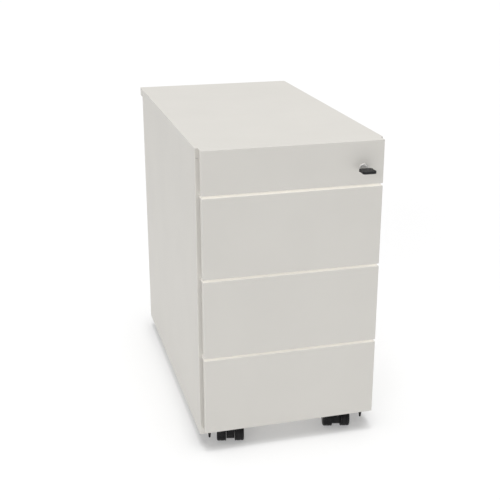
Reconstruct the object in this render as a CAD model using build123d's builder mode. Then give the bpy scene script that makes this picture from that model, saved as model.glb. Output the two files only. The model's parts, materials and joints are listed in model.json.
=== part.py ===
"""Mobile steel drawer pedestal: folded carcass, four drawers on telescopic runners, central lock, twin-wheel casters.

Millimetres. The origin is on the floor under the middle of the bounding box, +Z is up and the drawer fronts face -Y.
Shapes that exist on both sides are made on the right (+X) and mirrored.
"""

import os

from build123d import *

os.makedirs("parts", exist_ok=True)

# ---------------------------------------------------------------- driving dimensions

WIDTH = 300.0
HEIGHT = 507.0
FRONT_FACE_Y = -260.0
LID_REAR_Y = 288.0

SHEET = 1.0
HEAVY_SHEET = 1.2
BEND = 1.3
EDGE_ROUND = 0.8

# Drawer fronts, numbered from 1 at the top
DRAWERS = (1, 2, 3, 4)
FRONT_WIDTH = 290.4
FRONT_DEPTH = 19.4
FRONT_BOTTOM_Z = 34.0
FRONT_HEIGHT = 130.6
FRONT_GAP = 3.8
SIDE_RETURN = 10.0
GRIP_DEPTH = 24.0
BACK_LIP = 13.0

# Carcass
REVEAL = 0.6
FLANGE = 12.5
REAR_FLANGE = 15.0
BACK_FOLD = 12.0
BASE_FOLD = 14.0
SIDE_BOTTOM_Z = 22.0
CARCASS_REAR_Y = 264.5
LID_THICKNESS = 15.0
LID_UNDER_LIP = 26.0
CORNER_RELIEF = 1.2
BASE_Z = 54.0

# Uprights and telescopic runners
UPRIGHT_DEPTH = 12.0
UPRIGHT_WIDTH = 30.0
UPRIGHT_FRONT_YS = (-200.0, 200.0)
RUNNER_LENGTH = 450.0
RUNNER_FRONT_Y = -226.0
RUNNER_WALL = 1.2
RUNNER_SPACE = 12.5
CABINET_MEMBER = {"web": 0.0, "lip": 9.5, "half_height": 13.5}
MIDDLE_MEMBER = {"web": 3.0, "lip": 10.6, "half_height": 10.3}
DRAWER_MEMBER = {"web": 11.3, "lip": 5.0, "half_height": 7.2}

# Screws
HEAD_RADIUS = 3.2
HEAD_HEIGHT = 1.4
SHANK_RADIUS = 1.9
SHANK_LENGTH = 5.0
SCREW_HOLE = 2.1
LID_SCREW_X = 143.0
LID_SCREW_YS = (-225.0, 20.0, 245.0)
DRAWER_SCREW_YS = (-205.0, 150.0)
FRONT_SCREW_X = 115.0

# Drawer boxes
BOX_REAR_Y = 220.0
DEEP_BOX_HEIGHT = 105.0
PEN_BOX_HEIGHT = 45.0
BOX_RISE = 4.4
PEN_RUNNER_RISE = 3.5
DEEP_RUNNER_RISE = 20.0
HEM = 5.0
TRAY_GAP = 10.0

# Lock
LOCK_X = 111.5
LOCK_Z = 463.2
RIM_RADIUS = 8.0
RIM_DEPTH = 2.0
BARREL_RADIUS = 7.0
PLUG_RADIUS = 5.5
RUNNING_CLEARANCE = 0.05
TAIL = 5.0
CAM_Y = -238.0
CAM_THICKNESS = 2.0
CAM_WIDTH = 5.0
CAM_REACH = 27.0
LOCK_TRAVEL = 8.0
SLOT_WIDTH = 8.4
SLOT_HEIGHT = 2.6
KEY_PLAY = 0.3
KEY_GAP = 6.0
FOB_WIDTH = 22.5
FOB_LENGTH = 22.0
FOB_THICKNESS = 4.4

# Lock bar, its hooks and the catches on the drawer boxes
BAR_X = 141.5
BAR_THICKNESS = 2.0
BAR_FRONT_Y = -236.0
BAR_WIDTH = 18.0
HOOK_Y = -229.0
HOOK_THICKNESS = 4.0
HOOK_HEIGHT = 8.0
HOOK_GAP = 1.0
HOOK_REACH = 12.5
LUG_REACH = 6.0
LUG_HEIGHT = 4.0
LUG_PLAY = 0.2
CATCH_RISE = 15.0
CATCH_REACH = 9.7
CATCH_THICKNESS = 1.5
CATCH_FOOT = 12.0
GUIDE_PLAY = 0.3
GUIDE_ZS = (150.0, 420.0)
GUIDE_HEIGHT = 12.0

# Casters
WHEEL_RADIUS = 16.7
WHEEL_INNER = 7.2
WHEEL_OUTER = 22.8
WEB_HALF = 6.7
WEB_RADIUS = 13.0
AXLE_RADIUS = 2.5
AXLE_HALF = 20.8
TRAIL = 15.0
CASTER_X = 93.5
CASTER_FRONT_Y = -217.3
CASTER_REAR_Y = 215.0
STEM_RADIUS = 4.0
STEM_FLANGE = 14.0
HOOD_CAP_RADIUS = 22.5
HOOD_CAP_Z = 34.4
HOOD_CAP_THICKNESS = 5.0
HOOD_TOP_Z = 51.5
SOCKET_Z = 35.5

# ---------------------------------------------------------------- derived places

HALF = WIDTH / 2
FRONT_HALF = FRONT_WIDTH / 2
FRONT_BACK_Y = FRONT_FACE_Y + FRONT_DEPTH
CARCASS_FRONT_Y = FRONT_BACK_Y + REVEAL
LID_BOTTOM_Z = HEIGHT - LID_THICKNESS
INNER_HALF = HALF - SHEET
FLOOR_TOP_Z = BASE_Z + HEAVY_SHEET
RUNNER_OUTER_X = INNER_HALF - UPRIGHT_DEPTH
BOX_HALF = RUNNER_OUTER_X - RUNNER_SPACE
RUNNER_REAR_Y = RUNNER_FRONT_Y + RUNNER_LENGTH
UPRIGHT_SCREW_YS = [front_y + UPRIGHT_WIDTH / 2 for front_y in UPRIGHT_FRONT_YS]
CATCH_Y = HOOK_Y + HOOK_THICKNESS + HOOK_GAP

# Name of each caster: swivel centre and rest heading in degrees about +Z
CASTERS = {
    "front_left": (-CASTER_X, CASTER_FRONT_Y, -13.0),
    "front_right": (CASTER_X, CASTER_FRONT_Y, -13.0),
    "rear_left": (-CASTER_X, CASTER_REAR_Y, 165.0),
    "rear_right": (CASTER_X, CASTER_REAR_Y, 195.0),
}

BOTTOM = (Align.CENTER, Align.CENTER, Align.MIN)
TOP = (Align.CENTER, Align.CENTER, Align.MAX)


def front_bottom(number):
    """Lower edge of a drawer front."""
    return FRONT_BOTTOM_Z + (len(DRAWERS) - number) * (FRONT_HEIGHT + FRONT_GAP)


def front_height(number):
    """The top front runs up to the lid's level, the others are all the same."""
    return HEIGHT - front_bottom(number) if number == 1 else FRONT_HEIGHT


def box_bottom(number):
    """Underside of a drawer box; the lowest box also clears the cabinet floor."""
    return max(front_bottom(number) + BOX_RISE, FLOOR_TOP_Z + HEM)


def box_height(number):
    return PEN_BOX_HEIGHT if number == 1 else DEEP_BOX_HEIGHT


def runner_z(number):
    return box_bottom(number) + (PEN_RUNNER_RISE if number == 1 else DEEP_RUNNER_RISE)


def front_screw_zs(number):
    """Front fixing heights; the pen drawer has one on each side, below the lock."""
    low = box_bottom(number) + 8
    return [low] if number == 1 else [low, box_bottom(number) + box_height(number) - 20]


# ---------------------------------------------------------------- shared shapes


def folded_sheet(points, plane, length, thickness, side=Side.LEFT):
    """A sheet bent along the polyline of its outer face, and pulled out along the plane's normal."""
    with BuildPart() as sheet:
        with BuildSketch(plane):
            with BuildLine():
                FilletPolyline(*points, radius=BEND)
                offset(amount=thickness, side=side)
            make_face()
        extrude(amount=length)
    return sheet.part


def block(x_span, y_span, z_span):
    """A plain block between two values on each axis."""
    with BuildPart() as piece:
        with Locations((x_span[0], y_span[0], z_span[0])):
            Box(
                x_span[1] - x_span[0],
                y_span[1] - y_span[0],
                z_span[1] - z_span[0],
                align=(Align.MIN, Align.MIN, Align.MIN),
            )
    return piece.part


def both_sides(part):
    """The piece and its mirror image, as one group of two solids."""
    return Compound(children=[part, mirror(part, about=Plane.YZ)])


def screws(seats):
    """Pan head screws, each with its seat at a plane whose normal points to the head."""
    recess = 0.8
    with BuildPart() as screw:
        Cylinder(HEAD_RADIUS, HEAD_HEIGHT, align=BOTTOM)
        fillet(screw.faces().sort_by(Axis.Z)[-1].edges(), radius=HEAD_HEIGHT * 0.4)
        Cylinder(SHANK_RADIUS, SHANK_LENGTH, align=TOP)
        with Locations((0, 0, HEAD_HEIGHT)):
            Box(HEAD_RADIUS, recess, HEAD_HEIGHT, mode=Mode.SUBTRACT)
            Box(recess, HEAD_RADIUS, HEAD_HEIGHT, mode=Mode.SUBTRACT)
    return Compound(children=[seat.location * screw.part for seat in seats])


def both_seats(x, y, z, direction):
    """The same screw seat on both sides; direction is along X on the right side, or None for along +Y."""
    right = (direction, 0, 0) if direction else (0, 1, 0)
    left = (-direction, 0, 0) if direction else (0, 1, 0)
    return [Plane(origin=(x, y, z), z_dir=right), Plane(origin=(-x, y, z), z_dir=left)]


def drilled(part, seats):
    """A piece with a screw hole at each seat."""
    with BuildPart() as piece:
        add(part)
        with Locations(*seats):
            Cylinder(SCREW_HOLE, 4 * HEAVY_SHEET, mode=Mode.SUBTRACT)
    return piece.part


def drilled_group(group, seats):
    """Each solid of a group with the screw holes that fall on it."""
    return Compound(children=[drilled(solid, seats) for solid in group.solids()])


def cabinet_seats(number):
    """Where a drawer's cabinet members are screwed to the uprights."""
    seats = []
    for y in UPRIGHT_SCREW_YS:
        seats += both_seats(RUNNER_OUTER_X - RUNNER_WALL, y, runner_z(number), -1)
    return seats


def drawer_member_seats(number):
    """Where the drawer members are screwed to the box walls."""
    seats = []
    for y in DRAWER_SCREW_YS:
        seats += both_seats(BOX_HALF + RUNNER_WALL, y, runner_z(number), 1)
    return seats


def front_seats(number):
    """Where the box's front wall is screwed to the front's back lips."""
    seats = []
    for z in front_screw_zs(number):
        seats += both_seats(FRONT_SCREW_X, FRONT_BACK_Y + SHEET, z, None)
    return seats


def lid_seats():
    """Screw seats under the side panels' top flanges."""
    places = [(side * LID_SCREW_X, y) for side in (-1, 1) for y in LID_SCREW_YS]
    return [Plane(origin=(x, y, LID_BOTTOM_Z - SHEET), z_dir=(0, 0, -1)) for x, y in places]


# ---------------------------------------------------------------- carcass


def side_panel():
    """Right side: a tall sheet with front, rear and top flanges, relieved at the front corner."""
    outline = [
        (HALF - FLANGE, CARCASS_FRONT_Y),
        (HALF, CARCASS_FRONT_Y),
        (HALF, CARCASS_REAR_Y),
        (HALF - REAR_FLANGE, CARCASS_REAR_Y),
    ]
    relief_z = LID_BOTTOM_Z - CORNER_RELIEF
    with BuildPart() as panel:
        add(folded_sheet(outline, Plane.XY.offset(SIDE_BOTTOM_Z), LID_BOTTOM_Z - SIDE_BOTTOM_Z, SHEET))
        add(
            block(
                (HALF - FLANGE, INNER_HALF),
                (CARCASS_FRONT_Y + 2 * SHEET, CARCASS_REAR_Y - 2 * SHEET),
                (LID_BOTTOM_Z - SHEET, LID_BOTTOM_Z),
            )
        )
        add(
            block(
                (HALF - 4 * CORNER_RELIEF, HALF - CORNER_RELIEF),
                (CARCASS_FRONT_Y, CARCASS_FRONT_Y + SHEET),
                (relief_z, LID_BOTTOM_Z),
            ),
            mode=Mode.SUBTRACT,
        )
    return drilled(panel.part, lid_seats())


def top_panel():
    """Hollow folded lid with a returned lip all round its underside."""
    depth = LID_REAR_Y - CARCASS_FRONT_Y
    middle = CARCASS_FRONT_Y + depth / 2
    with BuildPart() as lid:
        with BuildSketch(Plane.XY.offset(LID_BOTTOM_Z)):
            with Locations((0, middle)):
                RectangleRounded(WIDTH, depth, BEND)
        extrude(amount=LID_THICKNESS)
        fillet(lid.faces().sort_by(Axis.Z)[-1].edges(), radius=EDGE_ROUND)
        with BuildSketch(Plane.XY.offset(LID_BOTTOM_Z + SHEET)):
            with Locations((0, middle)):
                Rectangle(WIDTH - 2 * HEAVY_SHEET, depth - 2 * HEAVY_SHEET)
        extrude(amount=LID_THICKNESS - SHEET - HEAVY_SHEET, mode=Mode.SUBTRACT)
        with BuildSketch(Plane.XY.offset(LID_BOTTOM_Z)):
            with Locations((0, middle)):
                Rectangle(WIDTH - 2 * LID_UNDER_LIP, depth - 2 * LID_UNDER_LIP)
        extrude(amount=SHEET, mode=Mode.SUBTRACT)
    return drilled(lid.part, lid_seats())


def back_panel():
    """Sheet with forward folded edges, fixed inside the side panels' rear flanges."""
    face_y = CARCASS_REAR_Y - SHEET
    half = INNER_HALF - REVEAL
    outline = [(half, face_y - BACK_FOLD), (half, face_y), (-half, face_y), (-half, face_y - BACK_FOLD)]
    return folded_sheet(outline, Plane.XY.offset(FLOOR_TOP_Z), LID_BOTTOM_Z - SHEET - FLOOR_TOP_Z, SHEET)


def base_panel():
    """Floor sheet with down-turned sides; the casters hang from it."""
    outline = [
        (INNER_HALF, BASE_Z - BASE_FOLD),
        (INNER_HALF, FLOOR_TOP_Z),
        (-INNER_HALF, FLOOR_TOP_Z),
        (-INNER_HALF, BASE_Z - BASE_FOLD),
    ]
    rear_y = CARCASS_REAR_Y - 2 * SHEET
    front_y = CARCASS_FRONT_Y + 2 * SHEET
    with BuildPart() as base:
        add(folded_sheet(outline, Plane.XZ.offset(-rear_y), rear_y - front_y, HEAVY_SHEET))
        with Locations(*[(x, y, BASE_Z) for x, y, heading in CASTERS.values()]):
            Cylinder(STEM_RADIUS + RUNNING_CLEARANCE, 4 * HEAVY_SHEET, mode=Mode.SUBTRACT)
    return base.part


def upright(front_y):
    """Right-hand channel that spaces the runners off the side panel."""
    outline = [
        (INNER_HALF, front_y),
        (RUNNER_OUTER_X, front_y),
        (RUNNER_OUTER_X, front_y + UPRIGHT_WIDTH),
        (INNER_HALF, front_y + UPRIGHT_WIDTH),
    ]
    height = LID_BOTTOM_Z - SHEET - FLOOR_TOP_Z
    channel = folded_sheet(outline, Plane.XY.offset(FLOOR_TOP_Z), height, HEAVY_SHEET, Side.RIGHT)
    seats = [seat for number in DRAWERS for seat in cabinet_seats(number)]
    return drilled(channel, seats)


def corner_glides():
    """Tapered stops under the front corners."""
    top_radius = 2.6
    tip_radius = 1.6
    taper_z = SIDE_BOTTOM_Z
    tip_z = 12.0
    x = HALF - FLANGE - 1.5 * top_radius
    y = CARCASS_FRONT_Y + SHEET + top_radius
    with BuildPart() as glide:
        with Locations((x, y, taper_z)):
            Cylinder(top_radius, BASE_Z - taper_z, align=BOTTOM)
            Cone(tip_radius, top_radius, taper_z - tip_z, align=TOP)
    return both_sides(glide.part)


# ---------------------------------------------------------------- runners


def runner_pair(member, number):
    """One C-shaped member of the left and right runners, open towards its lip."""
    web_x = RUNNER_OUTER_X - member["web"]
    lip_x = RUNNER_OUTER_X - member["lip"]
    opens_inward = member["lip"] > member["web"]
    outer_x = web_x if opens_inward else web_x - RUNNER_WALL
    half = member["half_height"]
    z = runner_z(number)
    outline = [(lip_x, z - half), (outer_x, z - half), (outer_x, z + half), (lip_x, z + half)]
    side = Side.LEFT if opens_inward else Side.RIGHT
    profile = folded_sheet(outline, Plane.XZ.offset(-RUNNER_REAR_Y), RUNNER_LENGTH, RUNNER_WALL, side)
    return both_sides(profile)


# ---------------------------------------------------------------- drawers


def drawer_front(number):
    """Folded pan, with a finger channel behind each side edge and a lip for the box at its back."""
    channel_x = FRONT_HALF - GRIP_DEPTH
    channel_y = FRONT_FACE_Y + SIDE_RETURN
    right = [
        (channel_x - BACK_LIP, FRONT_BACK_Y),
        (channel_x, FRONT_BACK_Y),
        (channel_x, channel_y),
        (FRONT_HALF, channel_y),
        (FRONT_HALF, FRONT_FACE_Y),
    ]
    outline = right + [(-x, y) for x, y in reversed(right)]
    bottom = front_bottom(number)
    height = front_height(number)
    with BuildPart() as pan:
        add(folded_sheet(outline, Plane.XY.offset(bottom), height, SHEET, Side.RIGHT))
        for z in (bottom, bottom + height - SHEET):
            with BuildSketch(Plane.XY.offset(z)) as plate:
                with Locations((0, FRONT_FACE_Y + FRONT_DEPTH / 2)):
                    Rectangle(FRONT_WIDTH, FRONT_DEPTH)
                fillet(plate.vertices().group_by(Axis.Y)[0], radius=BEND)
            extrude(amount=SHEET)
        face_edges = pan.edges().filter_by(Axis.X).group_by(Axis.Y)[0]
        fillet([face_edges.sort_by(Axis.Z)[0], face_edges.sort_by(Axis.Z)[-1]], radius=EDGE_ROUND)
        if number == 1:
            with Locations(Plane(origin=(LOCK_X, FRONT_FACE_Y, LOCK_Z), z_dir=(0, 1, 0))):
                Cylinder(BARREL_RADIUS + RUNNING_CLEARANCE, 3 * FRONT_DEPTH, mode=Mode.SUBTRACT)
    return drilled(pan.part, front_seats(number))


def drawer_box(number):
    """Folded tray with hemmed sides."""
    bottom = box_bottom(number)
    height = box_height(number)
    top = bottom + height
    inner = BOX_HALF - SHEET
    with BuildPart() as box:
        add(block((-BOX_HALF, BOX_HALF), (FRONT_BACK_Y, BOX_REAR_Y), (bottom, top)))
        fillet(box.edges().filter_by(Axis.Y).group_by(Axis.Z)[0], radius=BEND)
        add(
            block((-inner, inner), (FRONT_BACK_Y + SHEET, BOX_REAR_Y - SHEET), (bottom + SHEET, top)),
            mode=Mode.SUBTRACT,
        )
        for side in (-1, 1):
            span = sorted((side * inner, side * (inner - HEM)))
            add(block(span, (FRONT_BACK_Y + SHEET, BOX_REAR_Y - SHEET), (top - SHEET, top)))
        if number == 1:
            cam_rear_y = CAM_Y + CAM_THICKNESS + 2 * SHEET
            add(
                block((inner - HEM, BOX_HALF), (FRONT_BACK_Y + SHEET, cam_rear_y), (LOCK_Z - CAM_WIDTH, top)),
                mode=Mode.SUBTRACT,
            )
            with Locations(Plane(origin=(LOCK_X, FRONT_BACK_Y, LOCK_Z), z_dir=(0, 1, 0))):
                Cylinder(BARREL_RADIUS + RUNNING_CLEARANCE, 4 * SHEET, mode=Mode.SUBTRACT)
    return drilled(box.part, drawer_member_seats(number) + front_seats(number))


def lock_catch(number):
    """Bent bracket welded to the box's right side; the lock bar's hook comes down in front of its tab."""
    z = runner_z(number) + CATCH_RISE
    outline = [(BOX_HALF + CATCH_REACH, CATCH_Y), (BOX_HALF, CATCH_Y), (BOX_HALF, CATCH_Y + CATCH_FOOT)]
    return folded_sheet(outline, Plane.XY.offset(z), HOOK_HEIGHT, CATCH_THICKNESS, Side.RIGHT)


def pen_tray():
    """Moulded insert in the pen drawer, with four troughs across it."""
    wall = 2.0
    depth = 26.0
    length = 130.0
    troughs = 4
    half = BOX_HALF - SHEET - HEM
    front_y = CAM_Y + CAM_THICKNESS + TRAY_GAP
    rear_y = front_y + length
    bottom = box_bottom(1) + SHEET
    pitch = (rear_y - front_y - wall) / troughs
    with BuildPart() as tray:
        add(block((-half, half), (front_y, rear_y), (bottom, bottom + depth)))
        fillet(tray.edges().filter_by(Axis.Z), radius=2 * wall)
        for index in range(troughs):
            start = front_y + wall + index * pitch
            with BuildSketch(Plane.XY.offset(bottom + wall)):
                with Locations((0, start + (pitch - wall) / 2)):
                    RectangleRounded(2 * (half - wall), pitch - wall, 3 * wall)
            extrude(amount=depth, mode=Mode.SUBTRACT)
    return tray.part


# ---------------------------------------------------------------- lock


def lock_plane(y):
    """A plane across the lock's axis, its normal pointing into the cabinet."""
    return Plane(origin=(LOCK_X, y, LOCK_Z), x_dir=(1, 0, 0), z_dir=(0, 1, 0))


def lock_housing():
    """Round housing with a proud rim, bored for the plug."""
    barrel_rear_y = CAM_Y - REVEAL
    with BuildPart() as housing:
        with BuildSketch(lock_plane(FRONT_FACE_Y)):
            Circle(RIM_RADIUS)
        extrude(amount=-RIM_DEPTH)
        fillet(housing.faces().sort_by(Axis.Y)[0].edges(), radius=EDGE_ROUND)
        with BuildSketch(lock_plane(FRONT_FACE_Y)):
            Circle(BARREL_RADIUS)
        extrude(amount=barrel_rear_y - FRONT_FACE_Y)
        with BuildSketch(lock_plane(FRONT_FACE_Y - RIM_DEPTH)):
            Circle(PLUG_RADIUS + RUNNING_CLEARANCE)
        extrude(amount=barrel_rear_y - FRONT_FACE_Y + RIM_DEPTH, mode=Mode.SUBTRACT)
    return housing.part


def lock_plug():
    """Turning plug with a key slot in its face and a square tail for the cam."""
    face_y = FRONT_FACE_Y - RIM_DEPTH + REVEAL
    with BuildPart() as plug:
        with BuildSketch(lock_plane(face_y)):
            Circle(PLUG_RADIUS)
        extrude(amount=CAM_Y - face_y)
        with BuildSketch(lock_plane(CAM_Y)):
            Rectangle(TAIL, TAIL)
        extrude(amount=CAM_THICKNESS + REVEAL)
        with BuildSketch(lock_plane(face_y)):
            Rectangle(SLOT_WIDTH, SLOT_HEIGHT)
        extrude(amount=CAM_Y - face_y - 2 * SLOT_HEIGHT, mode=Mode.SUBTRACT)
    return plug.part


def lock_cam():
    """Flat arm on the plug's tail; it points up when the lock is open."""
    with BuildPart() as cam:
        with BuildSketch(lock_plane(CAM_Y)):
            Circle(PLUG_RADIUS)
            Rectangle(CAM_WIDTH, CAM_REACH, align=(Align.CENTER, Align.MAX))
            Rectangle(TAIL + 2 * RUNNING_CLEARANCE, TAIL + 2 * RUNNING_CLEARANCE, mode=Mode.SUBTRACT)
        extrude(amount=CAM_THICKNESS)
    return cam.part


def key_blade():
    """Flat blade with a notched edge, reaching from inside the fob to the slot's end."""
    tip_y = CAM_Y - 2 * SLOT_HEIGHT - 2 * KEY_PLAY
    root_y = FRONT_FACE_Y - KEY_GAP - FOB_LENGTH / 2
    half = SLOT_WIDTH / 2 - KEY_PLAY
    thick = SLOT_HEIGHT - 2 * KEY_PLAY
    notch = 1.5
    notches = [(FRONT_FACE_Y + (3 + 2 * index) * notch, notch * (0.6 + 0.25 * (index % 3))) for index in range(4)]
    with BuildPart() as blade:
        add(block((LOCK_X - half, LOCK_X + half), (root_y, tip_y), (LOCK_Z - thick / 2, LOCK_Z + thick / 2)))
        chamfer(blade.edges().filter_by(Axis.Z).group_by(Axis.Y)[-1], length=thick)
        for y, bite in notches:
            add(
                block((LOCK_X + half - bite, LOCK_X + half), (y, y + notch), (LOCK_Z - thick, LOCK_Z + thick)),
                mode=Mode.SUBTRACT,
            )
    return blade.part


def key_fob(blade):
    """Moulded grip over the blade's root, with a shallow thumb dimple."""
    rear_y = FRONT_FACE_Y - KEY_GAP
    corner = 3.0
    dimple = 2.4
    with BuildPart() as fob:
        with BuildSketch(Plane.XY.offset(LOCK_Z - FOB_THICKNESS / 2)):
            with Locations((LOCK_X, rear_y - FOB_LENGTH / 2)):
                RectangleRounded(FOB_WIDTH, FOB_LENGTH, corner)
        extrude(amount=FOB_THICKNESS)
        fillet(fob.faces().sort_by(Axis.Z)[-1].edges(), radius=EDGE_ROUND)
        fillet(fob.faces().sort_by(Axis.Z)[0].edges(), radius=EDGE_ROUND)
        with Locations((LOCK_X + FOB_WIDTH / 5, rear_y - FOB_LENGTH * 0.55, LOCK_Z + FOB_THICKNESS / 2)):
            Cylinder(dimple, dimple / 2, mode=Mode.SUBTRACT)
        add(blade, mode=Mode.SUBTRACT)
    return fob.part


def lock_bar():
    """Upright strip with one hook for each drawer and the lug that the cam pushes down."""
    lowest = runner_z(DRAWERS[-1]) + 12
    hook_lift = CATCH_RISE + HOOK_HEIGHT + HOOK_GAP
    highest = runner_z(1) + hook_lift + HOOK_HEIGHT + 1
    lug_top = LOCK_Z - CAM_WIDTH / 2 - GUIDE_PLAY + LOCK_TRAVEL
    with BuildPart() as bar:
        add(block((BAR_X, BAR_X + BAR_THICKNESS), (BAR_FRONT_Y, BAR_FRONT_Y + BAR_WIDTH), (lowest, highest)))
        for number in DRAWERS:
            z = runner_z(number) + hook_lift
            add(block((BAR_X - HOOK_REACH, BAR_X), (HOOK_Y, HOOK_Y + HOOK_THICKNESS), (z, z + HOOK_HEIGHT)))
        add(block((BAR_X - LUG_REACH, BAR_X), (CAM_Y - LUG_PLAY, HOOK_Y), (lug_top - LUG_HEIGHT, lug_top)))
    return bar.part


def lock_bar_guides():
    """Two plastic clips on the right side panel that hold the bar and let it slide."""
    front = BAR_FRONT_Y - GUIDE_PLAY
    rear = BAR_FRONT_Y + BAR_WIDTH + GUIDE_PLAY
    lip_x = BAR_X - GUIDE_PLAY
    back_x = BAR_X + BAR_THICKNESS + GUIDE_PLAY
    ear = 2.0
    lip = 1.3
    reach = 3.0
    clips = []
    for bottom in GUIDE_ZS:
        with BuildPart() as clip:
            with BuildSketch(Plane.XY.offset(bottom)):
                with BuildLine():
                    Polyline(
                        (INNER_HALF, front - ear),
                        (lip_x - lip, front - ear),
                        (lip_x - lip, front + reach),
                        (lip_x, front + reach),
                        (lip_x, front),
                        (back_x, front),
                        (back_x, rear),
                        (lip_x, rear),
                        (lip_x, rear - reach),
                        (lip_x - lip, rear - reach),
                        (lip_x - lip, rear + ear),
                        (INNER_HALF, rear + ear),
                        close=True,
                    )
                make_face()
            extrude(amount=GUIDE_HEIGHT)
        clips.append(clip.part)
    return Compound(children=clips)


# ---------------------------------------------------------------- casters
# Each caster piece is made with its swivel axis on Z and its wheels ahead of it (-Y), then placed.


def placed(part, name):
    """A caster piece turned to its rest heading and moved under the base."""
    x, y, heading = CASTERS[name]
    return Pos(x, y, 0) * Rot(0, 0, heading) * part


def caster_stems():
    """Flanged pins riveted up through the base panel."""
    with BuildPart() as stem:
        with Locations((0, 0, BASE_Z)):
            Cylinder(STEM_FLANGE, 2.0, align=TOP)
            Cylinder(STEM_RADIUS, HEAVY_SHEET, align=BOTTOM)
            Cylinder(STEM_RADIUS, BASE_Z - SOCKET_Z - 2 * KEY_PLAY, align=TOP)
    return Compound(children=[placed(stem.part, name) for name in CASTERS])


def caster_hood():
    """Round cap over the wheels, a web between them and a socket for the stem."""
    web_top = HOOD_CAP_Z + 1
    web_rear = 10.0
    neck_radius = 10.5
    with BuildPart() as hood:
        with BuildSketch(Plane.YZ.offset(-WEB_HALF)):
            with BuildLine():
                Polyline(
                    (-TRAIL - 9, 1.5 * WHEEL_RADIUS),
                    (-TRAIL - 5, web_top),
                    (web_rear, web_top),
                    (web_rear, 27),
                    (-TRAIL + 9, 10),
                    (-TRAIL, WHEEL_RADIUS),
                    close=True,
                )
            make_face()
            with Locations((-TRAIL, WHEEL_RADIUS)):
                Circle(WEB_RADIUS)
        extrude(amount=2 * WEB_HALF)
        with Locations((0, 0, HOOD_CAP_Z)):
            Cylinder(HOOD_CAP_RADIUS, HOOD_CAP_THICKNESS, align=BOTTOM)
        fillet(hood.faces().sort_by(Axis.Z)[-1].edges(), radius=0.6 * HOOD_CAP_THICKNESS)
        with Locations((0, 0, HOOD_CAP_Z)):
            Cylinder(neck_radius, HOOD_TOP_Z - HOOD_CAP_Z, align=BOTTOM)
        with Locations((0, 0, HOOD_TOP_Z)):
            Cylinder(STEM_RADIUS + RUNNING_CLEARANCE, HOOD_TOP_Z - SOCKET_Z, align=TOP, mode=Mode.SUBTRACT)
        with Locations(Plane(origin=(0, -TRAIL, WHEEL_RADIUS), z_dir=(1, 0, 0))):
            Cylinder(AXLE_RADIUS, 4 * WEB_HALF, mode=Mode.SUBTRACT)
    return hood.part


def caster_axle():
    with BuildPart() as axle:
        with Locations(Plane(origin=(0, -TRAIL, WHEEL_RADIUS), z_dir=(1, 0, 0))):
            Cylinder(AXLE_RADIUS, 2 * AXLE_HALF)
    return axle.part


def caster_wheel(side):
    """Wheel with a rounded outer shoulder and a blind bore, on the right (+1) or left (-1) of the web."""
    bore = AXLE_RADIUS + RUNNING_CLEARANCE
    bore_end = AXLE_HALF + KEY_PLAY
    shoulder = 3.0
    edge = 0.8
    with BuildPart() as wheel:
        with BuildSketch(Plane.XY):
            with BuildLine():
                Polyline(
                    (WHEEL_OUTER, WHEEL_RADIUS - shoulder),
                    (WHEEL_OUTER, 0),
                    (bore_end, 0),
                    (bore_end, bore),
                    (WHEEL_INNER, bore),
                    (WHEEL_INNER, WHEEL_RADIUS - edge),
                    (WHEEL_INNER + edge, WHEEL_RADIUS),
                    (WHEEL_OUTER - shoulder, WHEEL_RADIUS),
                )
                RadiusArc(
                    (WHEEL_OUTER - shoulder, WHEEL_RADIUS), (WHEEL_OUTER, WHEEL_RADIUS - shoulder), shoulder
                )
            make_face()
        revolve(axis=Axis.X)
    turned = wheel.part if side > 0 else mirror(wheel.part, about=Plane.YZ)
    return Pos(0, -TRAIL, WHEEL_RADIUS) * turned


# ---------------------------------------------------------------- all pieces


def all_pieces():
    pieces = {}
    right_side = side_panel()
    pieces["side_panel_right"] = right_side
    pieces["side_panel_left"] = mirror(right_side, about=Plane.YZ)
    pieces["top_panel"] = top_panel()
    pieces["back_panel"] = back_panel()
    pieces["base_panel"] = base_panel()
    for place, front_y in zip(("front", "rear"), UPRIGHT_FRONT_YS):
        right_upright = upright(front_y)
        pieces[f"upright_{place}_right"] = right_upright
        pieces[f"upright_{place}_left"] = mirror(right_upright, about=Plane.YZ)
    pieces["corner_glides"] = corner_glides()
    body_seats = [seat for number in DRAWERS for seat in cabinet_seats(number)] + lid_seats()
    pieces["body_screws"] = screws(body_seats)
    for number in DRAWERS:
        cabinet_runners = runner_pair(CABINET_MEMBER, number)
        drawer_runners = runner_pair(DRAWER_MEMBER, number)
        pieces[f"cabinet_runners_{number}"] = drilled_group(cabinet_runners, cabinet_seats(number))
        pieces[f"middle_runners_{number}"] = runner_pair(MIDDLE_MEMBER, number)
        pieces[f"drawer_runners_{number}"] = drilled_group(drawer_runners, drawer_member_seats(number))
        pieces[f"drawer_front_{number}"] = drawer_front(number)
        pieces[f"drawer_box_{number}"] = drawer_box(number)
        pieces[f"lock_catch_{number}"] = lock_catch(number)
        pieces[f"drawer_screws_{number}"] = screws(drawer_member_seats(number) + front_seats(number))
    pieces["pen_tray"] = pen_tray()
    pieces["lock_housing"] = lock_housing()
    pieces["lock_plug"] = lock_plug()
    pieces["lock_cam"] = lock_cam()
    blade = key_blade()
    pieces["key_blade"] = blade
    pieces["key_fob"] = key_fob(blade)
    pieces["lock_bar"] = lock_bar()
    pieces["lock_bar_guides"] = lock_bar_guides()
    pieces["caster_stems"] = caster_stems()
    hood, axle = caster_hood(), caster_axle()
    wheels = {"left": caster_wheel(-1), "right": caster_wheel(1)}
    for name in CASTERS:
        pieces[f"hood_{name}"] = placed(hood, name)
        pieces[f"axle_{name}"] = placed(axle, name)
        for side, wheel in wheels.items():
            pieces[f"wheel_{name}_{side}"] = placed(wheel, name)
    return pieces


for piece_name, piece in all_pieces().items():
    piece.label = piece_name
    export_step(piece, f"parts/{piece_name}.step")
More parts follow.
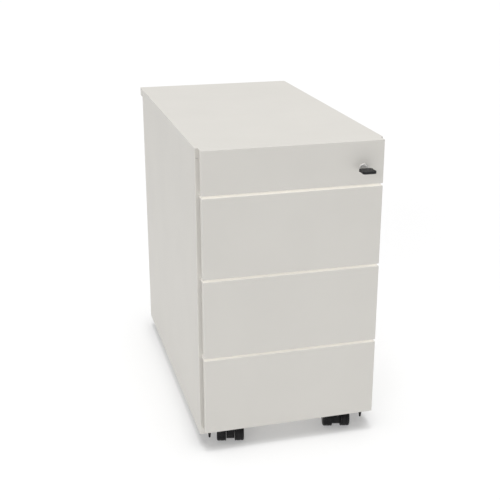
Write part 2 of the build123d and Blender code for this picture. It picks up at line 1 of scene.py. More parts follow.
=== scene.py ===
"""Looks of the drawer pedestal: powder-coated steel, plated hardware, moulded plastics, floor and light.

Metres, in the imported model's frame: the drawer fronts face -Y, +Z is up and the floor is at zero.
"""

import json
import math

import bmesh
import bpy
from mathutils import Matrix, Vector


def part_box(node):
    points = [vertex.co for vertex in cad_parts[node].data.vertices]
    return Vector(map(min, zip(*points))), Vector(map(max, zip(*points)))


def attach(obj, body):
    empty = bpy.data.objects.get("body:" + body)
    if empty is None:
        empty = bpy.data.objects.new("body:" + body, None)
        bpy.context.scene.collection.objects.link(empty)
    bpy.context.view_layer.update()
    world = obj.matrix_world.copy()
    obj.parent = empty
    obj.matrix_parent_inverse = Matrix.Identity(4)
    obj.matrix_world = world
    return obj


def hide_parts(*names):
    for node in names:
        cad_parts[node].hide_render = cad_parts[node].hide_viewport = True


MM = 0.001

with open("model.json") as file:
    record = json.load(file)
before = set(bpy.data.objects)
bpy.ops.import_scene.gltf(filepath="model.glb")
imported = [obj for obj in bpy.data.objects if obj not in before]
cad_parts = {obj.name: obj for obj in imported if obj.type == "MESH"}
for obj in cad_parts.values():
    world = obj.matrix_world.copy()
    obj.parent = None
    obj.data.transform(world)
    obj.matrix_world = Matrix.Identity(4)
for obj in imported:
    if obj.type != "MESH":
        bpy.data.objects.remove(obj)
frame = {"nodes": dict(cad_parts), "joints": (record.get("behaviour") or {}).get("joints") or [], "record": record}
nodes = frame["nodes"]
joints = {joint["name"]: joint for joint in frame["joints"]}
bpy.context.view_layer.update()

DRAWERS = (1, 2, 3, 4)
CASTERS = ("front_left", "front_right", "rear_left", "rear_right")
SIDES = {"left": -1, "right": 1}

# ---------------------------------------------------------------- finishes

PAINT = (0.735, 0.715, 0.672)
BOX_PAINT = (0.64, 0.63, 0.60)
ZINC = (0.60, 0.61, 0.62)
NICKEL = (0.72, 0.71, 0.69)
BLACK = (0.005, 0.005, 0.0055)
CHARCOAL = (0.015, 0.015, 0.016)
NATURAL_PLASTIC = (0.72, 0.72, 0.69)


class Finish:
    """A procedural material whose textures lie in the model's own coordinates, in metres."""

    def __init__(self, name, colour, roughness, metallic=0.0, specular=0.5):
        self.material = bpy.data.materials.new(name)
        self.material.use_nodes = True
        self.tree = self.material.node_tree
        self.shader = self.tree.nodes["Principled BSDF"]
        self.colour = colour
        self.shader.inputs["Base Color"].default_value = (*colour, 1)
        self.shader.inputs["Roughness"].default_value = roughness
        self.shader.inputs["Metallic"].default_value = metallic
        self.shader.inputs["Specular IOR Level"].default_value = specular
        self.place = self.node("ShaderNodeTexCoord").outputs["Object"]
        self.normal = None

    def node(self, kind, inputs=None, **settings):
        made = self.tree.nodes.new(kind)
        for key, value in settings.items():
            setattr(made, key, value)
        for key, value in (inputs or {}).items():
            if isinstance(value, bpy.types.NodeSocket):
                self.tree.links.new(value, made.inputs[key])
            else:
                made.inputs[key].default_value = value
        return made

    def stretched(self, scale):
        """The model's coordinates, scaled by a different amount along each axis."""
        return self.node("ShaderNodeMapping", {"Vector": self.place, "Scale": scale}).outputs["Vector"]

    def noise(self, size, detail=2.0, along=None):
        """Noise with features of about one size; along draws it out that many times on each axis."""
        place = self.stretched([1 / times for times in along]) if along else self.place
        settings = {"Vector": place, "Scale": 1 / size, "Detail": detail}
        return self.node("ShaderNodeTexNoise", settings).outputs["Fac"]

    def cells(self, size):
        """Crystal-like cells, each with its own random value."""
        cells = self.node("ShaderNodeTexVoronoi", {"Vector": self.place, "Scale": 1 / size})
        return self.node("ShaderNodeSeparateColor", {"Color": cells.outputs["Color"]}).outputs["Red"]

    def rings(self, centre, pitch):
        """Turning marks round an axis along Y."""
        offset = self.node("ShaderNodeVectorMath", {0: self.place, 1: centre}, operation="SUBTRACT").outputs[0]
        flat = self.node("ShaderNodeVectorMath", {0: offset, 1: (1, 0, 1)}, operation="MULTIPLY").outputs[0]
        radius = self.node("ShaderNodeVectorMath", {0: flat}, operation="LENGTH").outputs["Value"]
        turns = self.node("ShaderNodeMath", {0: radius, 1: math.tau / pitch}, operation="MULTIPLY").outputs[0]
        return self.node("ShaderNodeMath", {0: turns}, operation="SINE").outputs[0]

    def vary_colour(self, factor, darkest, lightest):
        """The base colour times a share that follows the factor."""
        ramp = self.node("ShaderNodeValToRGB", {"Fac": factor})
        for element, share in zip(ramp.color_ramp.elements, (darkest, lightest)):
            element.color = (*(share * channel for channel in self.colour), 1)
        ramp.color_ramp.elements[0].position = 0.3
        ramp.color_ramp.elements[1].position = 0.7
        self.tree.links.new(ramp.outputs["Color"], self.shader.inputs["Base Color"])
        return self

    def vary_roughness(self, factor, low, high):
        spread = self.node("ShaderNodeMapRange", {"Value": factor, "To Min": low, "To Max": high})
        self.tree.links.new(spread.outputs["Result"], self.shader.inputs["Roughness"])
        return self

    def bump(self, factor, height):
        """A relief of that height; a second call lays its relief over the first."""
        inputs = {"Height": factor, "Distance": height, "Strength": 1.0}
        if self.normal:
            inputs["Normal"] = self.normal
        self.normal = self.node("ShaderNodeBump", inputs).outputs["Normal"]
        self.tree.links.new(self.normal, self.shader.inputs["Normal"])
        return self


def powder_coat(name, colour, roughness, texture):
    """Baked powder paint: a fine pebbled texture over a broader, very shallow orange peel."""
    coat = Finish(name, colour, roughness)
    coat.vary_colour(coat.noise(90 * MM, 3.0), 0.985, 1.01)
    coat.vary_roughness(coat.noise(6 * MM), roughness - 0.06, roughness + 0.06)
    coat.bump(coat.noise(4 * MM), 0.5 * texture)
    coat.bump(coat.noise(0.55 * MM, 1.0), texture)
    return coat.material


def plated(name, colour, roughness, draw):
    """Zinc or nickel plate over drawn steel, its marks drawn out along one axis."""
    plate = Finish(name, colour, roughness, metallic=1.0)
    streaks = plate.noise(0.5 * MM, 3.0, along=draw)
    plate.vary_colour(plate.noise(14 * MM, 3.0), 0.88, 1.06)
    plate.vary_roughness(streaks, roughness - 0.1, roughness + 0.12)
    plate.bump(streaks, 0.012 * MM)
    return plate.material


def galvanised(name):
    """Hot-dip galvanised sheet with its crystal spangle."""
    sheet = Finish(name, ZINC, 0.42, metallic=1.0)
    spangle = sheet.cells(7 * MM)
    sheet.vary_colour(spangle, 0.82, 1.12)
    sheet.vary_roughness(spangle, 0.34, 0.5)
    sheet.bump(sheet.noise(2 * MM), 0.01 * MM)
    return sheet.material


def turned_nickel(name, roughness, pitch):
    """Satin nickel with fine rings round the lock's axis."""
    lock_centre = joints["lock_turn"]["pos_m"]
    nickel = Finish(name, NICKEL, roughness, metallic=0.45)
    nickel.vary_roughness(nickel.noise(1.5 * MM), roughness - 0.05, roughness + 0.07)
    nickel.bump(nickel.rings(lock_centre, pitch), 0.006 * MM)
    return nickel.material


def moulded(name, colour, roughness, grain):
    """Moulded plastic with a sparked, slightly uneven skin."""
    plastic = Finish(name, colour, roughness, specular=0.25)
    plastic.vary_colour(plastic.noise(5 * MM, 3.0), 0.85, 1.2)
    plastic.vary_roughness(plastic.noise(3 * MM), roughness - 0.08, roughness + 0.1)
    plastic.bump(plastic.noise(0.35 * MM, 1.0), grain)
    return plastic.material


ALONG_Y = (1, 40, 1)
ALONG_Z = (1, 1, 40)

finishes = {
    "carcass_steel": powder_coat("carcass_powder_coat", PAINT, 0.58, 0.018 * MM),
    "lid_steel": powder_coat("lid_powder_coat", PAINT, 0.58, 0.018 * MM),
    "front_steel": powder_coat("front_powder_coat", PAINT, 0.58, 0.018 * MM),
    "box_steel": powder_coat("box_powder_coat", BOX_PAINT, 0.48, 0.008 * MM),
    "runner_steel": plated("runner_zinc", ZINC, 0.32, ALONG_Y),
    "zinc_steel": galvanised("galvanised_sheet"),
    "lock_bar_steel": plated("bar_zinc", ZINC, 0.36, ALONG_Z),
    "stem_steel": plated("stem_zinc", ZINC, 0.38, ALONG_Z),
    "screw_steel": plated("screw_zinc", ZINC, 0.34, ALONG_Z),
    "axle_steel": plated("axle_steel", ZINC, 0.3, ALONG_Y),
    "lock_chrome": turned_nickel("satin_nickel", 0.3, 0.35 * MM),
    "key_steel": plated("key_nickel", NICKEL, 0.28, ALONG_Y),
    "fob_plastic": moulded("fob_plastic", CHARCOAL, 0.42, 0.02 * MM),
    "hood_plastic": moulded("hood_nylon", BLACK, 0.46, 0.02 * MM),
    "wheel_plastic": moulded("wheel_nylon", BLACK, 0.4, 0.015 * MM),
    "black_plastic": moulded("glide_nylon", BLACK, 0.5, 0.02 * MM),
    "guide_plastic": moulded("guide_acetal", NATURAL_PLASTIC, 0.4, 0.01 * MM),
    "tray_plastic": moulded("tray_polystyrene", CHARCOAL, 0.5, 0.03 * MM),
}

for part in frame["record"]["subparts"]:
    cad_node = nodes[part["node"]]
    cad_node.data.materials.clear()
    cad_node.data.materials.append(finishes[part["material_slot"]])

# ---------------------------------------------------------------- mesh tools


SHARP_ANGLE = math.radians(32)
FROM_X = {
    "X": Matrix.Identity(3),
    "Y": Matrix.Rotation(math.pi / 2, 3, "Z"),
    "Z": Matrix.Rotation(-math.pi / 2, 3, "Y"),
}


class Shape:
    """A mesh of turned and extruded parts, in millimetres in its own axes, then placed in the frame."""

    def __init__(self):
        self.mesh = bmesh.new()

    def turned(self, profile, centre=(0, 0, 0), axis="X", segments=72, ring=False):
        """Revolves (distance along the axis, radius) points; ring joins the last point to the first."""
        loops = []
        for along, radius in profile:
            angles = [math.tau * k / segments for k in range(segments)] if radius > 0 else [0.0]
            points = [Vector((along, radius * math.cos(a), radius * math.sin(a))) for a in angles]
            loops.append([self.mesh.verts.new(FROM_X[axis] @ point + Vector(centre)) for point in points])
        pairs = list(zip(loops, loops[1:])) + ([(loops[-1], loops[0])] if ring else [])
        for one, two in pairs:
            for k in range(segments):
                j = k + 1
                corners = [one[k % len(one)], one[j % len(one)], two[j % len(two)], two[k % len(two)]]
                self.mesh.faces.new(list(dict.fromkeys(corners)))

    def extruded(self, outline, low, high, axis="X"):
        """Pulls a closed outline out along X (its points are Y and Z) or along Z (X and Y)."""
        order = {"X": lambda a, b, along: (along, a, b), "Z": lambda a, b, along: (a, b, along)}[axis]
        ends = [[self.mesh.verts.new(order(a, b, along)) for a, b in outline] for along in (low, high)]
        for k in range(len(outline)):
            j = (k + 1) % len(outline)
            self.mesh.faces.new((ends[0][k], ends[0][j], ends[1][j], ends[1][k]))
        self.mesh.faces.new(ends[0])
        self.mesh.faces.new(ends[1])

    def block(self, x, y, z):
        self.extruded([(x[0], y[0]), (x[1], y[0]), (x[1], y[1]), (x[0], y[1])], z[0], z[1], "Z")

    def ball(self, centre, radius):
        place = Matrix.Translation(centre)
        bmesh.ops.create_icosphere(self.mesh, subdivisions=2, radius=radius, matrix=place)

    def made(self, name, place=Matrix.Identity(4)):
        """The finished object, in metres, with its vertices placed in the frame."""
        bmesh.ops.recalc_face_normals(self.mesh, faces=self.mesh.faces)
        mesh = bpy.data.meshes.new(name)
        self.mesh.to_mesh(mesh)
        self.mesh.free()
        mesh.transform(place @ Matrix.Scale(MM, 4))
        mesh.set_sharp_from_angle(angle=SHARP_ANGLE)
        made = bpy.data.objects.new(name, mesh)
        bpy.context.scene.collection.objects.link(made)
        return made


def rounded(obj, width, segments=3):
    """Softens every sharp edge to the given radius, in millimetres."""
    bevel = obj.modifiers.new("rounding", "BEVEL")
    bevel.width, bevel.segments, bevel.limit_method = width * MM, segments, "ANGLE"
    bevel.angle_limit = SHARP_ANGLE
    bevel.use_clamp_overlap = True
    normals = obj.modifiers.new("normals", "WEIGHTED_NORMAL")
    normals.keep_sharp = True


def placed(obj, body, slot, *replaced):
    """Gives a piece the finish for its slot and its body, and hides the CAD nodes that it stands for."""
    obj.data.materials.append(finishes[slot])
    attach(obj, body)
    if replaced:
        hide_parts(*replaced)
    return obj


def span_along(node, joint):
    """How far a node reaches along a joint's axis, low and high, and its radius about it, in millimetres."""
    origin, axis = Vector(joints[joint]["pos_m"]), Vector(joints[joint]["axis"]).normalized()
    offsets = [vertex.co - origin for vertex in nodes[node].data.vertices]
    along = [offset.dot(axis) for offset in offsets]
    radius = max((offset - axis * distance).length for offset, distance in zip(offsets, along))
    return min(along) / MM, max(along) / MM, radius / MM


def arc(centre, radius, start, end, steps):
    """Points on an arc, its angles in degrees."""
    angles = [math.radians(start + (end - start) * k / steps) for k in range(steps + 1)]
    return [(centre[0] + radius * math.cos(a), centre[1] + radius * math.sin(a)) for a in angles]


# ---------------------------------------------------------------- casters

WEB_HALF = 6.7
WEB_RADIUS = 13.0
WEB_REACH = 9.5
WEB_TOP_REACH = 5.0
WEB_REAR = 10.0
WEB_REAR_LOW = 27.0
CAP_GAP = 1.0
CAP_THICKNESS = 5.0
CAP_ROUND = 2.5
CAP_HOLLOW = 1.5
CAP_RIM = 2.5
CAP_EDGE = 0.5
NECK_RADIUS = 10.5
NECK_FILLET = 1.2
NECK_EDGE = 0.6
NECK_GROOVES = (3.6, 3.0, 2.4)
NECK_GROOVE = 0.8
STEM_RADIUS = 4.1
STEM_BOTTOM = 3.0
GUSSET_HALF = 0.9
GUSSET_LENGTH = 6.0
HOOD_ROUNDING = 0.7

BORE_RADIUS = 2.6
BORE_BOTTOM = 1.2
SHOULDER = 3.0
HUB_RADIUS = 6.2
HUB_EDGE = 0.6
TREAD_THICKNESS = 3.4
TREAD_EDGE = 0.7
RECESS_DEPTH = 2.6
RECESS_DRAFT = 0.4
RECESS_EDGE = 0.9
GROOVE_OFFSET = 3.2
GROOVE_HALF_TOP = 0.7
GROOVE_HALF_BOTTOM = 0.35
TREAD_GROOVE = 0.5
HUB_CAP_RADIUS = 0.3
RIB_COUNT = 8
RIB_HALF = 0.6
TURNED_SEGMENTS = 96


def caster_place(name, joint):
    """The matrix that puts a caster part, modelled about the wheels' axis along X, at its rest heading."""
    axis = Vector(joints[f"roll_{name}_right"]["axis"])
    heading = math.atan2(axis.y, axis.x)
    return Matrix.Translation(joints[joint]["pos_m"]) @ Matrix.Rotation(heading, 4, "Z")


def wheel(name, side):
    """Nylon wheel with a grooved tread, a shouldered outer face with a hub cap, and ribs on its inner face."""
    body = f"wheel_{name}_{side}"
    joint = f"roll_{name}_{side}"
    low, high, radius = span_along(body, joint)
    sign = SIDES[side]
    inner, outer = sorted((abs(low), abs(high)))
    middle = (inner + outer - SHOULDER) / 2
    rim = radius - TREAD_THICKNESS
    recess = inner + RECESS_DEPTH
    profile = [
        (outer - BORE_BOTTOM, 0),
        (outer - BORE_BOTTOM, BORE_RADIUS),
        (inner, BORE_RADIUS),
        (inner, HUB_RADIUS - HUB_EDGE),
        (inner + HUB_EDGE, HUB_RADIUS),
        (recess, HUB_RADIUS),
        (recess, rim),
        (inner + RECESS_DRAFT, rim + RECESS_DRAFT),
        (inner, rim + RECESS_EDGE),
        (inner, radius - TREAD_EDGE),
        (inner + TREAD_EDGE, radius),
    ]
    for centre in (middle - GROOVE_OFFSET, middle + GROOVE_OFFSET):
        profile += [
            (centre - GROOVE_HALF_TOP, radius),
            (centre - GROOVE_HALF_BOTTOM, radius - TREAD_GROOVE),
            (centre + GROOVE_HALF_BOTTOM, radius - TREAD_GROOVE),
            (centre + GROOVE_HALF_TOP, radius),
        ]
    profile += arc((outer - SHOULDER, radius - SHOULDER), SHOULDER, 90, 12, 7)
    for depth, step in ((0.3, 0.6), (0.9, 1.0), (0.9, 2.0), (0.2, 2.6)):
        profile.append((outer - depth, rim - step))
    profile += [(outer, HUB_CAP_RADIUS * radius), (outer, 0)]
    shape = Shape()
    shape.turned([(sign * along, r) for along, r in profile], segments=TURNED_SEGMENTS)
    across = sorted((sign * (inner + 0.5), sign * (recess + 0.3)))
    for k in range(RIB_COUNT):
        turn = Matrix.Rotation(math.tau * k / RIB_COUNT, 3, "X")
        before = set(shape.mesh.verts)
        shape.block(across, (-RIB_HALF, RIB_HALF), (HUB_RADIUS - 0.3, rim + 0.2))
        for vertex in set(shape.mesh.verts) - before:
            vertex.co = turn @ vertex.co
    placed(shape.made(f"{body}_moulded", caster_place(name, joint)), body, "wheel_plastic", body)


def hood(name):
    """Moulded body of a caster: a web between the wheels under a round cap, with a collar for the stem."""
    node = f"hood_{name}"
    swivel, roll = joints[f"swivel_{name}"], joints[f"roll_{name}_right"]
    trail = (Vector(swivel["pos_m"]).xy - Vector(roll["pos_m"]).xy).length / MM
    axle_z = roll["pos_m"][2] / MM
    cap_radius = span_along(node, f"swivel_{name}")[2]
    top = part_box(node)[1].z / MM
    cap_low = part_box(f"wheel_{name}_left")[1].z / MM + CAP_GAP
    cap_high = cap_low + CAP_THICKNESS
    web_top = cap_low + 1
    outline = [
        (-trail - WEB_REACH, 1.5 * axle_z),
        (-trail - WEB_TOP_REACH, web_top),
        (WEB_REAR, web_top),
        (WEB_REAR, WEB_REAR_LOW),
        *arc((-trail, axle_z), WEB_RADIUS, -38, -180, 14),
    ]
    shape = Shape()
    shape.extruded(outline, -WEB_HALF, WEB_HALF)
    cap = [
        (cap_low + CAP_HOLLOW, 0),
        (cap_low + CAP_HOLLOW, cap_radius - CAP_RIM),
        (cap_low, cap_radius - CAP_RIM + 1.0),
        (cap_low, cap_radius - CAP_EDGE),
        (cap_low + CAP_EDGE, cap_radius),
    ]
    cap += [(z, r) for r, z in arc((cap_radius - CAP_ROUND, cap_high - CAP_ROUND), CAP_ROUND, 0, 90, 6)]
    first, bottom, last = NECK_GROOVES
    cap += [
        (cap_high, NECK_RADIUS + NECK_FILLET),
        (cap_high + NECK_FILLET, NECK_RADIUS),
        (top - first, NECK_RADIUS),
        (top - bottom, NECK_RADIUS - NECK_GROOVE),
        (top - last, NECK_RADIUS),
        (top - NECK_EDGE, NECK_RADIUS),
        (top, NECK_RADIUS - NECK_EDGE),
        (top, STEM_RADIUS + NECK_EDGE),
        (top - NECK_EDGE, STEM_RADIUS),
        (cap_low + STEM_BOTTOM, STEM_RADIUS),
        (cap_low + STEM_BOTTOM, 0),
    ]
    shape.turned(cap, axis="Z", segments=TURNED_SEGMENTS)
    for sign in (-1, 1):
        across = sorted((sign * WEB_HALF, sign * (WEB_HALF + GUSSET_LENGTH)))
        shape.block(across, (-GUSSET_HALF, GUSSET_HALF), (cap_low - 0.2, cap_low + 1.9))
    place = Matrix.Translation((swivel["pos_m"][0], swivel["pos_m"][1], 0))
    place = place @ caster_place(name, f"roll_{name}_right").to_3x3().to_4x4()
    made = placed(shape.made(f"{node}_moulded", place), f"caster_{name}", "hood_plastic", node)
    rounded(made, HOOD_ROUNDING)


for caster in CASTERS:
    hood(caster)
    for side in SIDES:
        wheel(caster, side)

# ---------------------------------------------------------------- corner glides

GLIDE_THREAD = 1.5
GLIDE_TAPER = 10.0
GLIDE_RIM = 2.0
STUD_SHARE = 0.8
THREAD_ROOT_SHARE = 0.68


def corner_glides():
    """Tapered stops on threaded studs under the front corners."""
    low, high = (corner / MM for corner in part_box("corner_glides"))
    radius = (high.y - low.y) / 2
    y = (low.y + high.y) / 2
    taper = low.z + GLIDE_TAPER
    stud = STUD_SHARE * radius
    z = taper + GLIDE_RIM + 0.4
    profile = [
        (low.z, 0),
        (low.z, 0.5 * radius),
        (low.z + 0.5, 0.62 * radius),
        (taper - 0.5, radius),
        (taper + GLIDE_RIM, radius),
        (z, stud),
    ]
    while z + GLIDE_THREAD < high.z:
        profile += [(z + 0.5 * GLIDE_THREAD, THREAD_ROOT_SHARE * radius), (z + GLIDE_THREAD, stud)]
        z += GLIDE_THREAD
    profile += [(high.z, stud), (high.z, 0)]
    shape = Shape()
    for x in (low.x + radius, high.x - radius):
        shape.turned(profile, centre=(x, y, 0), axis="Z", segments=40)
    placed(shape.made("corner_glides_moulded"), "root", "black_plastic", "corner_glides")


corner_glides()

# ---------------------------------------------------------------- lock and key

lock_x, _, lock_z = (value / MM for value in joints["lock_turn"]["pos_m"])


BARREL_STEP = 1.0
RIM_WIDTH = 2.4
RIM_DEPTH = 2.0
FOB_CORNER = 4.2
FOB_WAIST = 0.9
FOB_EDGE = 0.25
FOB_BORDER_HEIGHT = 0.3
FOB_BORDER_SHARES = (0.93, 0.78)
FOB_ROUNDING = 0.6


def lock_rim():
    """Turned housing: a stepped, chamfered rim in front of a long barrel."""
    low, high = (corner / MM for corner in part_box("lock_housing"))
    radius = (high.x - low.x) / 2
    length = high.y - low.y
    barrel = radius - BARREL_STEP
    bore = radius - RIM_WIDTH
    profile = [
        (0.55, radius),
        (0.15, radius - 0.25),
        (0, radius - 0.6),
        (0, radius - 1.5),
        (0.3, radius - 1.8),
        (0.3, bore + 0.25),
        (0.55, bore),
        (length, bore),
        (length, barrel),
        (RIM_DEPTH + 0.05, barrel),
        (RIM_DEPTH, radius),
    ]
    shape = Shape()
    centre = (lock_x, low.y, lock_z)
    shape.turned(profile, centre=centre, axis="Y", segments=TURNED_SEGMENTS, ring=True)
    return placed(shape.made("lock_housing_turned"), "drawer_1", "lock_chrome", "lock_housing")


def key_grip():
    """Moulded grip, waisted halfway along its sides, with a raised border and a thumb dimple on each face."""
    low, high = (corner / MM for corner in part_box("key_fob"))
    half_x, half_y, half_z = ((high - low) / 2)[:]
    inset_x, inset_y = half_x - FOB_CORNER, half_y - FOB_CORNER
    outline = [(-half_x + FOB_WAIST, 0.0), (half_x - FOB_WAIST, 0.0)]
    for x, y, start in ((1, 1, 0), (-1, 1, 90), (-1, -1, 180), (1, -1, 270)):
        outline += arc((x * inset_x, y * inset_y), FOB_CORNER, start, start + 90, 7)
    outline.sort(key=lambda point: math.atan2(point[1], point[0]))
    shape = Shape()
    shape.extruded(outline, -half_z + FOB_EDGE, half_z - FOB_EDGE, "Z")
    border, inside = ([(share * x, share * y) for x, y in outline] for share in FOB_BORDER_SHARES)
    face = half_z - FOB_BORDER_HEIGHT
    for sign in (-1, 1):
        loops = []
        for ring, z in ((border, face), (border, half_z), (inside, half_z), (inside, face)):
            loops.append([shape.mesh.verts.new((x, y, sign * z)) for x, y in ring])
        for one, two in zip(loops, loops[1:]):
            for k in range(len(outline)):
                j = (k + 1) % len(outline)
                shape.mesh.faces.new((one[k], one[j], two[j], two[k]))
        dimple = [(face, 3.1), (half_z, 2.9), (half_z, 2.5), (face, 1.4), (half_z - 0.35, 0)]
        centre = (0.4 * half_x, -0.1 * half_y, 0)
        shape.turned([(sign * z, r) for z, r in dimple], centre=centre, axis="Z", segments=40)
    place = Matrix.Translation((low + high) / 2 * MM)
    grip = placed(shape.made("key_grip", place), "key", "fob_plastic", "key_fob")
    rounded(grip, FOB_ROUNDING)
    return grip


rim_piece = lock_rim()
grip_piece = key_grip()

# ---------------------------------------------------------------- pen tray

TRAY_WALL = 1.6
TROUGHS = 4
TROUGH_DEPTH = 23.0
TRAY_GRID = (90, 120)
TRAY_LIP = 2.0
RAMP_ACROSS = 7.0
RAMP_ALONG = 12.0


def pen_tray():
    """Vacuum-formed tray: one sheet with four long rounded troughs and a turned-down edge."""
    low, high = (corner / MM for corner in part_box("pen_tray"))
    columns, rows = TRAY_GRID
    width, length = high.x - low.x, high.y - low.y
    pitch = (length - TRAY_LIP) / TROUGHS
    centres = [TRAY_LIP / 2 + (k + 0.5) * pitch for k in range(TROUGHS)]

    def well(distance, half, ramp):
        """1 on a trough's floor, falling smoothly to 0 at its rim."""
        rise = min(1.0, max(0.0, (half - abs(distance)) / ramp))
        return rise * rise * (3 - 2 * rise)

    sheet = bmesh.new()
    grid = []
    for row in range(rows + 1):
        y = length * row / rows
        across = well(min(abs(y - centre) for centre in centres), (pitch - TRAY_LIP) / 2, RAMP_ACROSS)
        line = []
        for column in range(columns + 1):
            x = width * (column / columns - 0.5)
            depth = TROUGH_DEPTH * across * well(x, width / 2 - TRAY_LIP, RAMP_ALONG)
            line.append(sheet.verts.new((x + (low.x + high.x) / 2, low.y + y, high.z - depth)))
        grid.append(line)
    for near, far in zip(grid, grid[1:]):
        for k in range(columns):
            sheet.faces.new((near[k], near[k + 1], far[k + 1], far[k]))
    rim = [edge for edge in sheet.edges if edge.is_boundary]
    skirt = bmesh.ops.extrude_edge_only(sheet, edges=rim)
    for vertex in (item for item in skirt["geom"] if isinstance(item, bmesh.types.BMVert)):
        vertex.co.z = low.z + TRAY_WALL
    shape = Shape()
    shape.mesh.free()
    shape.mesh = sheet
    obj = placed(shape.made("pen_tray_formed"), "drawer_1", "tray_plastic", "pen_tray")
    thick = obj.modifiers.new("sheet", "SOLIDIFY")
    thick.thickness, thick.offset = TRAY_WALL * MM, -1.0


pen_tray()

# ---------------------------------------------------------------- ball cages in the runners

BALL_PITCH = 14.0
BALL_SHARE = 0.96
END_MARGIN = 6.0
MIDDLE_MARGIN = 8.0
MEMBER_SHEET = 1.2
CAGE_SHEET = 0.5
CAGE_HALF = 2.4
OUTER_ROW_IN = 4.6
INNER_ROW_IN = 4.8


def ball_cages(number):
    """Balls and their cage strips on both sides of the middle member, where they stay between the members."""
    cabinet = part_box(f"cabinet_runners_{number}")[1] / MM
    middle_low, middle = (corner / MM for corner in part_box(f"middle_runners_{number}"))
    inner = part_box(f"drawer_runners_{number}")[1] / MM
    mid_y = (middle_low.y + middle.y) / 2
    centre_z = (middle_low.z + middle.z) / 2
    outer_x = (cabinet.x + middle.x) / 2 - OUTER_ROW_IN
    inner_x = middle.x - INNER_ROW_IN
    rows = [
        (outer_x, cabinet.z - MEMBER_SHEET, middle.z, (mid_y + MIDDLE_MARGIN, middle.y - END_MARGIN)),
        (inner_x, middle.z - MEMBER_SHEET, inner.z, (middle_low.y + END_MARGIN, mid_y - MIDDLE_MARGIN)),
    ]
    balls, cages = Shape(), Shape()
    for sign in (-1, 1):
        for x, outside, inside, (start, end) in rows:
            gap = (outside + inside) / 2 - centre_z
            radius = BALL_SHARE * (outside - inside) / 2
            for z in (centre_z - gap, centre_z + gap):
                strip = sorted((sign * (x - CAGE_HALF), sign * (x + CAGE_HALF)))
                cages.block(strip, (start, end), (z - CAGE_SHEET / 2, z + CAGE_SHEET / 2))
                count = int((end - start - MIDDLE_MARGIN) / BALL_PITCH)
                for k in range(count + 1):
                    balls.ball((sign * x, start + END_MARGIN + k * BALL_PITCH, z), radius)
    placed(balls.made(f"runner_balls_{number}"), f"middle_{number}", "axle_steel")
    placed(cages.made(f"ball_cages_{number}"), f"middle_{number}", "runner_steel")


for number in DRAWERS:
    ball_cages(number)

# ---------------------------------------------------------------- floor

FLOOR_HALF = 30.0
FLOOR_WHITE = 0.68
FLOOR_GLOW = 0.285

floor_mesh = bpy.data.meshes.new("floor")
floor_corners = [(x * FLOOR_HALF, y * FLOOR_HALF, 0) for x, y in ((-1, -1), (1, -1), (1, 1), (-1, 1))]
floor_mesh.from_pydata(floor_corners, [], [(0, 1, 2, 3)])
floor = bpy.data.objects.new("floor", floor_mesh)
bpy.context.scene.collection.objects.link(floor)
paper = Finish("white_floor", (FLOOR_WHITE,) * 3, 0.9, specular=0.0)
paper.shader.inputs["Emission Color"].default_value = (1, 1, 1, 1)
paper.shader.inputs["Emission Strength"].default_value = FLOOR_GLOW
floor_mesh.materials.append(paper.material)

# ---------------------------------------------------------------- light

SKY_LIGHT = 0.25
OVERHEAD_SOFT = 0.57
OVERHEAD_SHARP = 0.22
SIDE_LIGHT = 0.215
SOFT_ANGLE = 50
SHARP_EDGE_ANGLE = 6
SIDE_ANGLE = 30
DOWN = (0, 0, -1)
FROM_LEFT_FRONT = (0.8, 0.9, -0.3)


def sun(name, strength, angle, towards, lets_through):
    """A soft studio light. It passes the pieces named, so that it also reaches the narrow gaps beside them."""
    data = bpy.data.lights.new(name, "SUN")
    data.energy = strength * math.pi
    data.angle = math.radians(angle)
    light = bpy.data.objects.new(name, data)
    light.rotation_mode = "QUATERNION"
    light.rotation_quaternion = Vector(towards).to_track_quat("-Z", "Y")
    bpy.context.scene.collection.objects.link(light)
    passed = bpy.data.collections.new(f"{name}_passes")
    for piece in lets_through:
        passed.objects.link(piece)
    light.light_linking.blocker_collection = passed
    for member in passed.collection_objects:
        member.light_linking.link_state = "EXCLUDE"


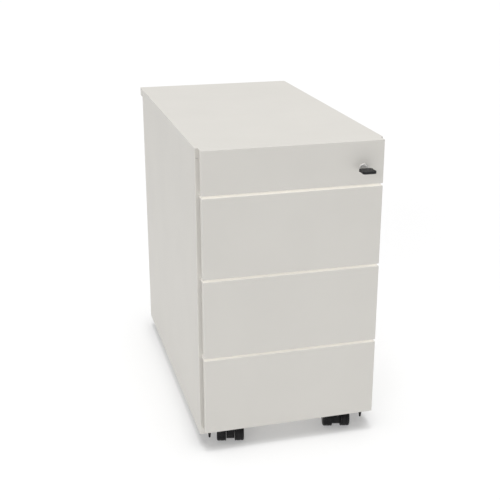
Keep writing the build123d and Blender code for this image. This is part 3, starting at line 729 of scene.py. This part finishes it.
fronts = [nodes[f"drawer_front_{number}"] for number in DRAWERS]
lock_pieces = [grip_piece, rim_piece, *(nodes[name] for name in ("key_blade", "lock_plug", "lock_cam"))]
sun("overhead_soft", OVERHEAD_SOFT, SOFT_ANGLE, DOWN, lock_pieces + fronts[:-1])
sun("overhead_sharp", OVERHEAD_SHARP, SHARP_EDGE_ANGLE, DOWN, lock_pieces + fronts[:-1])
sun("side", SIDE_LIGHT, SIDE_ANGLE, FROM_LEFT_FRONT, fronts)

world = bpy.data.worlds.new("studio")
bpy.context.scene.world = world
world.use_nodes = True
tree = world.node_tree
tree.nodes.clear()
sky, backdrop = (tree.nodes.new("ShaderNodeBackground") for _ in range(2))
for background, strength in ((sky, SKY_LIGHT), (backdrop, 1.0)):
    background.inputs["Color"].default_value = (1, 1, 1, 1)
    background.inputs["Strength"].default_value = strength
seen = tree.nodes.new("ShaderNodeLightPath")
mix = tree.nodes.new("ShaderNodeMixShader")
output = tree.nodes.new("ShaderNodeOutputWorld")
tree.links.new(seen.outputs["Is Camera Ray"], mix.inputs["Fac"])
tree.links.new(sky.outputs["Background"], mix.inputs[1])
tree.links.new(backdrop.outputs["Background"], mix.inputs[2])
tree.links.new(mix.outputs["Shader"], output.inputs["Surface"])

bpy.context.scene.view_settings.view_transform = "Standard"

# ---------------------------------------------------------------- camera

AZIMUTH = -14.97
ELEVATION = 19.94
DISTANCE = 1.60
LENS = 67.1
TARGET = Vector((-0.030, -0.110, 0.290))

azimuth, elevation = math.radians(AZIMUTH), math.radians(ELEVATION)
back = Vector(
    (
        math.sin(azimuth) * math.cos(elevation),
        -math.cos(azimuth) * math.cos(elevation),
        math.sin(elevation),
    )
)
camera_data = bpy.data.cameras.new("camera")
camera_data.lens = LENS
camera = bpy.data.objects.new("camera", camera_data)
bpy.context.scene.collection.objects.link(camera)
camera.location = TARGET + DISTANCE * back
camera.rotation_mode = "QUATERNION"
camera.rotation_quaternion = (-back).to_track_quat("-Z", "Y")
bpy.context.scene.camera = camera
